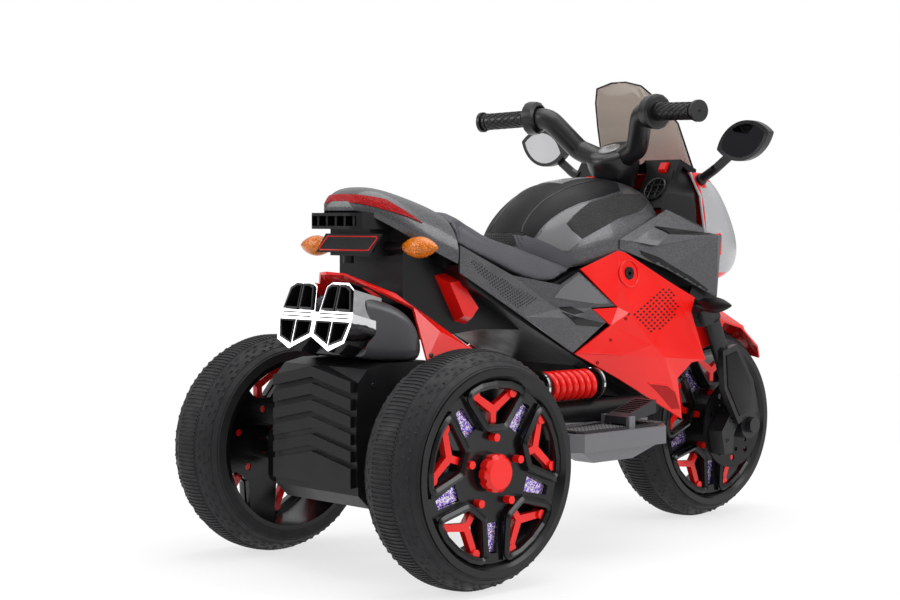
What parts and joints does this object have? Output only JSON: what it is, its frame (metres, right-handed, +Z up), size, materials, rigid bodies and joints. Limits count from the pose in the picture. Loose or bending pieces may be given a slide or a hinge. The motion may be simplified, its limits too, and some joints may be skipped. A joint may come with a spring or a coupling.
{
  "type": "kids electric motorbike",
  "caption": "Ride-on electric motorbike for a child with paired rear wheels, steerable front fork, padded seat, footrests, exhaust-styled tail and a drive housing.",
  "frame": {"origin": "on the ground, midway between the rear axle and the front axle, on the middle plane", "axes": "+X forward, +Y to the rider's left, +Z up"},
  "size_m": [0.972, 0.5082, 0.667],
  "materials": {
    "tyre_black": "matt moulded tread",
    "black_plastic": "fine-grained moulded black",
    "gloss_black": "polished moulded black",
    "red_plastic": "polished moulded red",
    "grey_plastic": "dark metallic grey",
    "seat_black": "grained soft cover",
    "chrome_plate": "bright plated plastic",
    "steel": "turned steel",
    "amber_lens": "ribbed amber lens",
    "red_lens": "red lens",
    "smoke_screen": "smoked clear sheet",
    "lamp_glass": "clear lamp cover",
    "mirror_glass": "silvered",
    "plate_black": "bare plate"
  },
  "bodies": {
    "chassis": {"axle_housing": "black_plastic", "battery": "black_plastic", "charging_socket": "black_plastic", "control_box": "black_plastic", "dampers": "black_plastic", "dash_panel": "black_plastic", "foot_mat_left": "black_plastic", "foot_mat_right": "black_plastic", "footrest": "black_plastic", "frame_left": "black_plastic", "frame_right": "black_plastic", "front_cowl": "red_plastic", "front_indicators": "black_plastic", "gear_motors": "black_plastic", "headlight": "lamp_glass", "muffler": "gloss_black", "number_plate": "plate_black", "pipe_caps": "chrome_plate", "pods": "red_plastic", "rear_axle": "steel", "rear_indicators": "amber_lens", "rear_mudguard": "red_plastic", "seat_cushion": "seat_black", "side_covers": "grey_plastic", "side_fairing_left": "grey_plastic", "side_fairing_right": "grey_plastic", "side_panel_left": "red_plastic", "side_panel_right": "red_plastic", "speaker": "black_plastic", "springs": "red_plastic", "tail_bracket": "black_plastic", "tail_cowl": "grey_plastic", "tail_light": "red_lens", "tank_cover": "grey_plastic", "windscreen": "smoke_screen"},
    "steering": {"fork_left": "black_plastic", "fork_right": "black_plastic", "yoke": "black_plastic", "front_axle": "steel", "front_mudguard": "red_plastic", "caliper": "black_plastic", "handlebar": "gloss_black", "grips": "black_plastic"},
    "front_wheel": {"front_tyre": "tyre_black", "front_rim": "black_plastic", "front_inserts": "red_plastic", "brake_disc": "black_plastic"},
    "rear_wheel_left": {"rear_left_tyre": "tyre_black", "rear_left_rim": "black_plastic", "rear_left_inserts": "red_plastic"},
    "rear_wheel_right": {"rear_right_tyre": "tyre_black", "rear_right_rim": "black_plastic", "rear_right_inserts": "red_plastic"},
    "accelerator": {"pedal": "black_plastic"},
    "mirror_left_head": {"mirror_left": "black_plastic", "mirror_glass_left": "mirror_glass"},
    "mirror_right_head": {"mirror_right": "black_plastic", "mirror_glass_right": "mirror_glass"},
    "rocker_switch": {"rocker": "red_plastic"},
    "button": {"start_button": "red_plastic"}
  },
  "joints": [
    {"name": "steering_turn", "type": "hinge", "parent": "chassis", "child": "steering", "pos_m": [0.336, 0, 0.15], "axis": [-0.4226, 0, 0.9063], "range_deg": [-22, 22]},
    {"name": "front_wheel_spin", "type": "hinge", "parent": "steering", "child": "front_wheel", "pos_m": [0.336, 0, 0.15], "axis": [0, 1, 0], "continuous": true},
    {"name": "rear_left_spin", "type": "hinge", "parent": "chassis", "child": "rear_wheel_left", "pos_m": [-0.336, 0.199, 0.15], "axis": [0, 1, 0], "continuous": true},
    {"name": "rear_right_spin", "type": "hinge", "parent": "chassis", "child": "rear_wheel_right", "pos_m": [-0.336, -0.199, 0.15], "axis": [0, 1, 0], "continuous": true},
    {"name": "pedal_press", "type": "hinge", "parent": "chassis", "child": "accelerator", "pos_m": [-0.018, -0.162, 0.187], "axis": [0, 1, 0], "range_deg": [0, 9], "stiffness_Nm_per_rad": 1.2, "springref_deg": -8.59},
    {"name": "mirror_left_turn", "type": "hinge", "parent": "chassis", "child": "mirror_left_head", "pos_m": [0.22, 0.112, 0.522], "axis": [0, 0, 1], "range_deg": [-15, 15]},
    {"name": "mirror_right_turn", "type": "hinge", "parent": "chassis", "child": "mirror_right_head", "pos_m": [0.22, -0.112, 0.522], "axis": [0, 0, 1], "range_deg": [-15, 15]},
    {"name": "rocker_tilt", "type": "hinge", "parent": "chassis", "child": "rocker_switch", "pos_m": [0.18168, -0.075, 0.53791], "axis": [0, 1, 0], "range_deg": [-8, 8]},
    {"name": "button_press", "type": "slide", "parent": "chassis", "child": "button", "axis": [0, 0, -1], "range_m": [0, 0.003], "stiffness_N_per_m": 250, "springref_m": -0.001}
  ]
}
